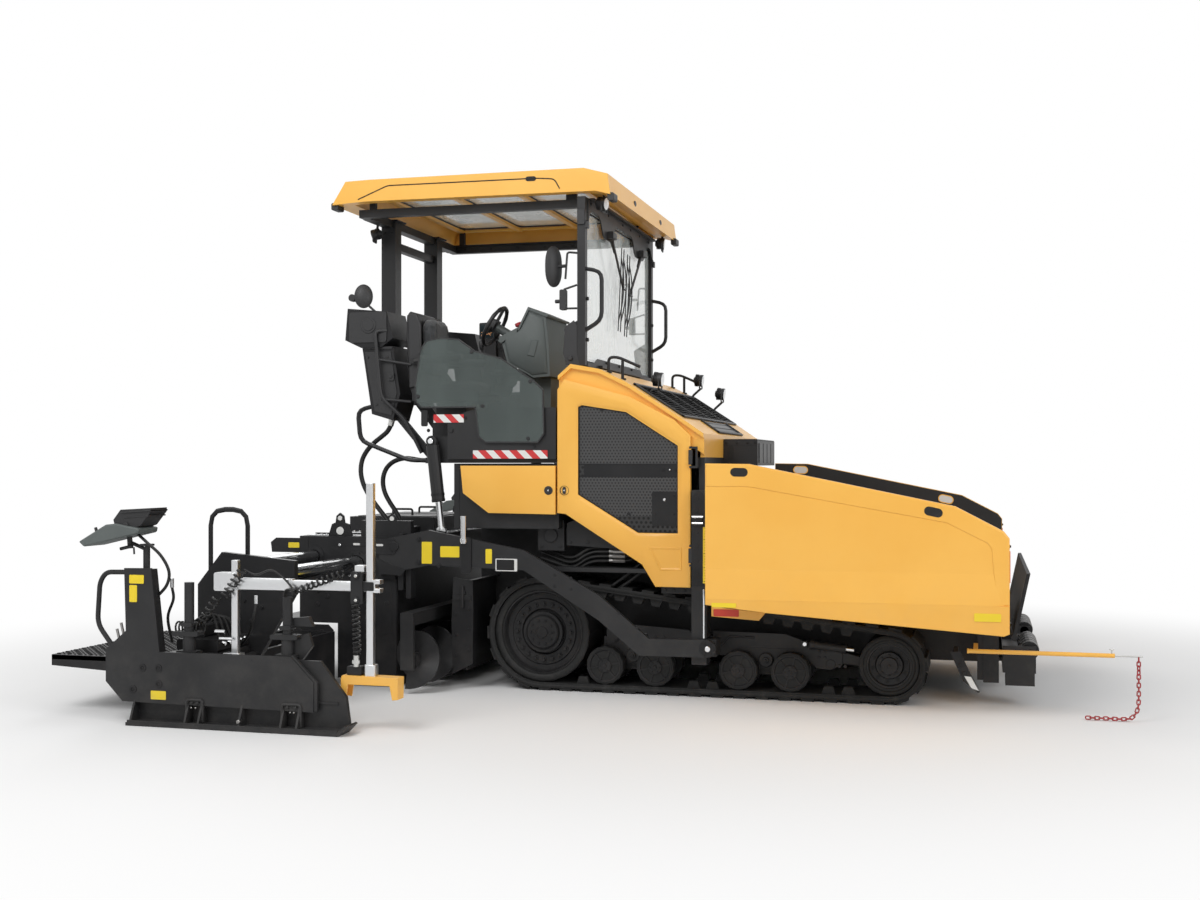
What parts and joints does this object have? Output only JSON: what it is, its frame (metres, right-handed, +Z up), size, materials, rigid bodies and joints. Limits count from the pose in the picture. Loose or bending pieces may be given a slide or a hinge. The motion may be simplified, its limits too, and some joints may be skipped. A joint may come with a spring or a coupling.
{
  "type": "tracked asphalt paver",
  "caption": "Tracked asphalt paver with folding hopper wings, canopied operator deck, augers and an extending screed on tow arms",
  "frame": {"origin": "on the ground under the middle of the machine's overall box", "axes": "+X forward towards the hopper, +Y to the machine's left, +Z up"},
  "size_m": [7.04, 6.3, 3.797],
  "materials": {
    "charcoal_paint": "satin charcoal paint",
    "yellow_paint": "semi-gloss golden yellow paint",
    "cast_engine": "painted cast iron",
    "track_rubber": "moulded rubber track",
    "black_paint": "matt black paint",
    "apron_rubber": "reinforced rubber sheet",
    "black_plastic": "moulded black plastic",
    "grey_plastic": "moulded grey plastic",
    "seat_fabric": "dark grey seat cover",
    "clear_glass": "clear safety glass",
    "smoked_glass": "smoked clear plastic",
    "rod_chrome": "hard chrome",
    "worn_steel": "worn bare steel",
    "tread_aluminium": "aluminium tread plate",
    "aluminium_profile": "extruded aluminium",
    "hose_rubber": "black hydraulic hose",
    "red_chain": "red chain"
  },
  "bodies": {
    "root": {"main_frame": "charcoal_paint", "auger_carrier": "charcoal_paint", "operator_platform": "charcoal_paint", "canopy_rear_frame": "charcoal_paint", "windshield_frame": "charcoal_paint", "hopper_floor": "charcoal_paint", "track_frame_left": "charcoal_paint", "track_frame_right": "charcoal_paint", "seat_base_left": "charcoal_paint", "seat_base_right": "charcoal_paint", "hood": "yellow_paint", "canopy_roof": "yellow_paint", "guide_bar": "yellow_paint", "engine_block": "cast_engine", "track_belt_left": "track_rubber", "track_belt_right": "track_rubber", "drive_wheel_left": "black_paint", "drive_wheel_right": "black_paint", "idler_wheel_left": "black_paint", "idler_wheel_right": "black_paint", "rear_guard": "black_paint", "console": "grey_plastic", "seat_cushion_left": "seat_fabric", "seat_cushion_right": "seat_fabric", "roof_panes": "clear_glass", "windshield_glass": "clear_glass", "side_shield_left": "smoked_glass", "side_shield_right": "smoked_glass", "guide_chain": "red_chain", "hose_upper": "hose_rubber", "hose_lower": "hose_rubber"},
    "hopper_wing_left": {"hopper_wing_left": "yellow_paint"},
    "hopper_wing_right": {"hopper_wing_right": "yellow_paint"},
    "apron": {"front_apron": "apron_rubber"},
    "push_beam": {"push_beam": "charcoal_paint"},
    "push_roller_left": {"push_roller_left": "black_paint"},
    "push_roller_right": {"push_roller_right": "black_paint"},
    "steering_wheel": {"steering_wheel": "black_plastic"},
    "service_door_left": {"service_door_left": "yellow_paint"},
    "service_door_right": {"service_door_right": "yellow_paint"},
    "rear_cover_left": {"rear_cover_left": "yellow_paint"},
    "rear_cover_right": {"rear_cover_right": "yellow_paint"},
    "screed": {"screed_frame": "black_paint", "tow_arm_left": "charcoal_paint", "tow_arm_right": "charcoal_paint"},
    "auger_left": {"auger_left": "worn_steel"},
    "auger_right": {"auger_right": "worn_steel"},
    "extension_left": {"screed_extension_left": "black_paint"},
    "extension_right": {"screed_extension_right": "black_paint"},
    "end_gate_left": {"end_gate_left": "black_paint"},
    "end_gate_right": {"end_gate_right": "black_paint", "sensor_bracket": "aluminium_profile"},
    "walkway_left": {"walkway_left": "tread_aluminium"},
    "walkway_right": {"walkway_right": "tread_aluminium"},
    "lift_barrel_left": {"lift_barrel_left": "charcoal_paint"},
    "lift_barrel_right": {"lift_barrel_right": "charcoal_paint"},
    "lift_rod_left": {"lift_rod_left": "rod_chrome"},
    "lift_rod_right": {"lift_rod_right": "rod_chrome"}
  },
  "joints": [
    {"name": "wing_fold_left", "type": "hinge", "parent": "root", "child": "hopper_wing_left", "pos_m": [1.6, 0.59, 0.73], "axis": [1, 0, 0], "range_deg": [0, 50]},
    {"name": "wing_fold_right", "type": "hinge", "parent": "root", "child": "hopper_wing_right", "pos_m": [1.6, -0.59, 0.73], "axis": [-1, 0, 0], "range_deg": [0, 50]},
    {"name": "apron_fold", "type": "hinge", "parent": "root", "child": "apron", "pos_m": [2.735, 0, 0.49], "axis": [0, 1, 0], "range_deg": [-10, 50]},
    {"name": "push_beam_swing", "type": "hinge", "parent": "root", "child": "push_beam", "pos_m": [2.64, 0, 0.34], "axis": [0, 0, 1], "range_deg": [-4, 4]},
    {"name": "push_roller_turn_left", "type": "hinge", "parent": "push_beam", "child": "push_roller_left", "pos_m": [2.84, 0.622, 0.38], "axis": [0, 1, 0], "continuous": true},
    {"name": "push_roller_turn_right", "type": "hinge", "parent": "push_beam", "child": "push_roller_right", "pos_m": [2.84, -0.622, 0.38], "axis": [0, 1, 0], "continuous": true},
    {"name": "steering_turn", "type": "hinge", "parent": "root", "child": "steering_wheel", "pos_m": [-1.128, -0.6, 2.721], "axis": [0.866, 0, -0.5], "range_deg": [-150, 150]},
    {"name": "service_door_swing_left", "type": "hinge", "parent": "root", "child": "service_door_left", "pos_m": [0.548, 1.26, 1.35], "axis": [0, 0, -1], "range_deg": [0, 90]},
    {"name": "rear_cover_swing_left", "type": "hinge", "parent": "root", "child": "rear_cover_left", "pos_m": [-1.164, 1.267, 1.46], "axis": [0, 0, 1], "range_deg": [0, 90]},
    {"name": "service_door_swing_right", "type": "hinge", "parent": "root", "child": "service_door_right", "pos_m": [0.548, -1.26, 1.35], "axis": [0, 0, 1], "range_deg": [0, 90]},
    {"name": "rear_cover_swing_right", "type": "hinge", "parent": "root", "child": "rear_cover_right", "pos_m": [-1.164, -1.267, 1.46], "axis": [0, 0, -1], "range_deg": [0, 90]},
    {"name": "screed_lift", "type": "hinge", "parent": "root", "child": "screed", "pos_m": [0.69, 0, 0.37], "axis": [0, 1, 0], "range_deg": [0, 5.5], "deforming": ["hose_upper", "hose_lower"]},
    {"name": "auger_turn_left", "type": "hinge", "parent": "root", "child": "auger_left", "pos_m": [-1.45, 0.8, 0.235], "axis": [0, 1, 0], "continuous": true},
    {"name": "extension_slide_left", "type": "slide", "parent": "screed", "child": "extension_left", "axis": [0, -1, 0], "range_m": [0, 1.05]},
    {"name": "end_gate_height_left", "type": "slide", "parent": "extension_left", "child": "end_gate_left", "axis": [0, 0, 1], "range_m": [0, 0.08]},
    {"name": "walkway_fold_left", "type": "hinge", "parent": "extension_left", "child": "walkway_left", "pos_m": [-2.735, 2.08, 0.354], "axis": [0, 1, 0], "range_deg": [0, 90]},
    {"name": "lift_barrel_swing_left", "type": "hinge", "parent": "root", "child": "lift_barrel_left", "pos_m": [-1.395, 1.24, 1.82], "axis": [0, -1, 0], "range_deg": [0, 13]},
    {"name": "lift_rod_slide_left", "type": "slide", "parent": "lift_barrel_left", "child": "lift_rod_left", "axis": [-0.1129, 0, 0.9936], "range_m": [0, 0.17]},
    {"name": "auger_turn_right", "type": "hinge", "parent": "root", "child": "auger_right", "pos_m": [-1.45, -0.8, 0.235], "axis": [0, 1, 0], "continuous": true},
    {"name": "extension_slide_right", "type": "slide", "parent": "screed", "child": "extension_right", "axis": [0, 1, 0], "range_m": [0, 1.05]},
    {"name": "end_gate_height_right", "type": "slide", "parent": "extension_right", "child": "end_gate_right", "axis": [0, 0, 1], "range_m": [0, 0.08]},
    {"name": "walkway_fold_right", "type": "hinge", "parent": "extension_right", "child": "walkway_right", "pos_m": [-2.735, -2.08, 0.354], "axis": [0, 1, 0], "range_deg": [0, 90]},
    {"name": "lift_barrel_swing_right", "type": "hinge", "parent": "root", "child": "lift_barrel_right", "pos_m": [-1.395, -1.24, 1.82], "axis": [0, -1, 0], "range_deg": [0, 13]},
    {"name": "lift_rod_slide_right", "type": "slide", "parent": "lift_barrel_right", "child": "lift_rod_right", "axis": [-0.1129, 0, 0.9936], "range_m": [0, 0.17]}
  ],
  "couplings": [
    {"joint": "lift_barrel_swing_left", "follows": "screed_lift", "ratio": 2.23},
    {"joint": "lift_rod_slide_left", "follows": "screed_lift", "m_per_rad": 1.735},
    {"joint": "lift_barrel_swing_right", "follows": "screed_lift", "ratio": 2.23},
    {"joint": "lift_rod_slide_right", "follows": "screed_lift", "m_per_rad": 1.735}
  ]
}
